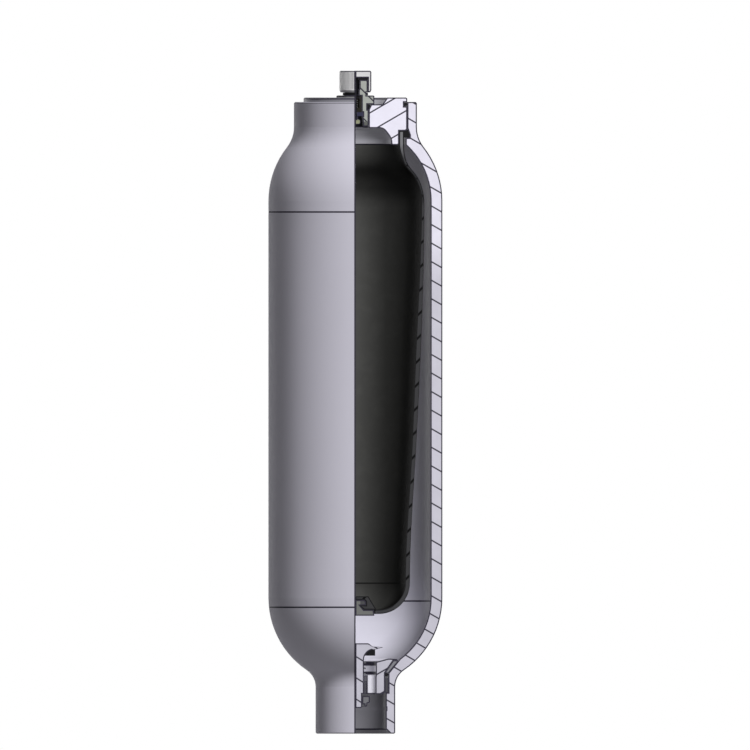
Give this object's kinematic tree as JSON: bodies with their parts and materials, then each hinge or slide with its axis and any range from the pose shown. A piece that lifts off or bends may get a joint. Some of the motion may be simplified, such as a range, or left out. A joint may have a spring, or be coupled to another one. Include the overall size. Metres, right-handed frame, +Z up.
{
  "type": "hydraulic accumulator",
  "caption": "Bladder accumulator shown in section: steel bottle with an oil port and poppet valve below, a rubber gas bladder inside, and a screwed plug with a gas valve on top",
  "frame": {"origin": "on the axis of the bottle, in the bottom face of the oil port's neck", "axes": "+Z up along the axis of the bottle from the oil port to the gas valve, +X and -Y bound the quarter that is cut away"},
  "size_m": [0.229, 0.229, 0.8726],
  "materials": {
    "shell_paint": "satin",
    "plug_steel": "machined",
    "valve_steel": "zinc plated",
    "cap_steel": "machined",
    "port_steel": "machined",
    "spring_steel": "drawn wire",
    "core_brass": "machined",
    "bush_bronze": "machined",
    "bladder_rubber": "moulded",
    "seal_rubber": "moulded",
    "core_plastic": "moulded",
    "ring_plastic": "turned"
  },
  "bodies": {
    "vessel": {"shell": "shell_paint", "closure_plug": "plug_steel", "plug_o_ring": "seal_rubber", "mouth_seal": "seal_rubber", "gas_valve_body": "valve_steel", "gas_valve_o_ring": "seal_rubber", "dust_ring": "seal_rubber", "core_barrel": "core_brass", "core_seal": "core_plastic", "core_spring": "spring_steel", "bladder": "bladder_rubber", "seat_insert": "port_steel", "cone_ring": "port_steel", "guide_bush": "bush_bronze", "port_o_ring": "seal_rubber", "port_backup_ring": "ring_plastic", "port_support_ring": "port_steel", "poppet_spring": "spring_steel"},
    "cap_carrier": {"cap_seal": "seal_rubber"},
    "cap": {"valve_cap": "cap_steel"},
    "valve_pin": {"core_pin": "valve_steel", "core_disc": "core_brass"},
    "bladder_foot": {"bladder_button": "port_steel"},
    "poppet_valve": {"poppet": "port_steel", "poppet_seal": "seal_rubber", "stem_washer": "port_steel", "stem_nut": "port_steel", "nut_locking_ring": "ring_plastic"}
  },
  "joints": [
    {"name": "cap_turn", "type": "hinge", "parent": "cap_carrier", "child": "cap", "pos_m": [0, 0, 0.85], "axis": [0, 0, 1], "range_deg": [0, 3960]},
    {"name": "cap_lift", "type": "slide", "parent": "vessel", "child": "cap_carrier", "axis": [0, 0, 1], "range_m": [0, 0.0165]},
    {"name": "core_press", "type": "slide", "parent": "vessel", "child": "valve_pin", "axis": [0, 0, -1], "range_m": [0, 0.002], "stiffness_N_per_m": 800, "springref_m": -0.004, "deforming": ["core_spring"]},
    {"name": "bladder_rise", "type": "slide", "parent": "vessel", "child": "bladder_foot", "axis": [0, 0, 1], "range_m": [-0.034, 0.12], "stiffness_N_per_m": 3000, "deforming": ["bladder"]},
    {"name": "poppet_close", "type": "slide", "parent": "vessel", "child": "poppet_valve", "axis": [0, 0, -1], "range_m": [0, 0.0162], "stiffness_N_per_m": 1500, "springref_m": -0.03, "deforming": ["poppet_spring"]}
  ],
  "couplings": [
    {"joint": "cap_lift", "follows": "cap_turn", "m_per_rad": 0.00023873}
  ]
}
